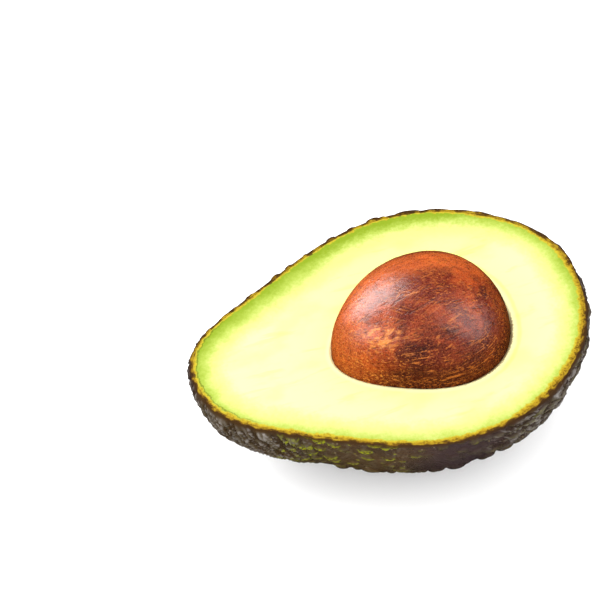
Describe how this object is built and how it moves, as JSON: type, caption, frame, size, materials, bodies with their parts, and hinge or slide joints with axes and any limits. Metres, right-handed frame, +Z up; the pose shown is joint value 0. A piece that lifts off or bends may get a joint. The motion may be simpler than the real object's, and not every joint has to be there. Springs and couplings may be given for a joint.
{
  "type": "avocado half",
  "caption": "Pear-shaped avocado half lying cut face up, with a thin dark pebbled skin, pale flesh and an egg-shaped stone seated in it.",
  "frame": {"origin": "middle of the flat resting spot, on the surface that the half lies on", "axes": "+X along the fruit's length toward the blossom end, +Z up out of the cut face"},
  "size_m": [0.0984, 0.073, 0.0508],
  "materials": {
    "skin": "satin pebbled rind, dark purple brown with olive pebbles",
    "flesh": "moist and smooth, cream yellow turning lime green at the rim",
    "stone": "satin reddish brown, mottled, with fine paler fibres"
  },
  "bodies": {
    "root": {"skin": "skin", "flesh": "flesh", "stone": "stone"}
  },
  "joints": []
}
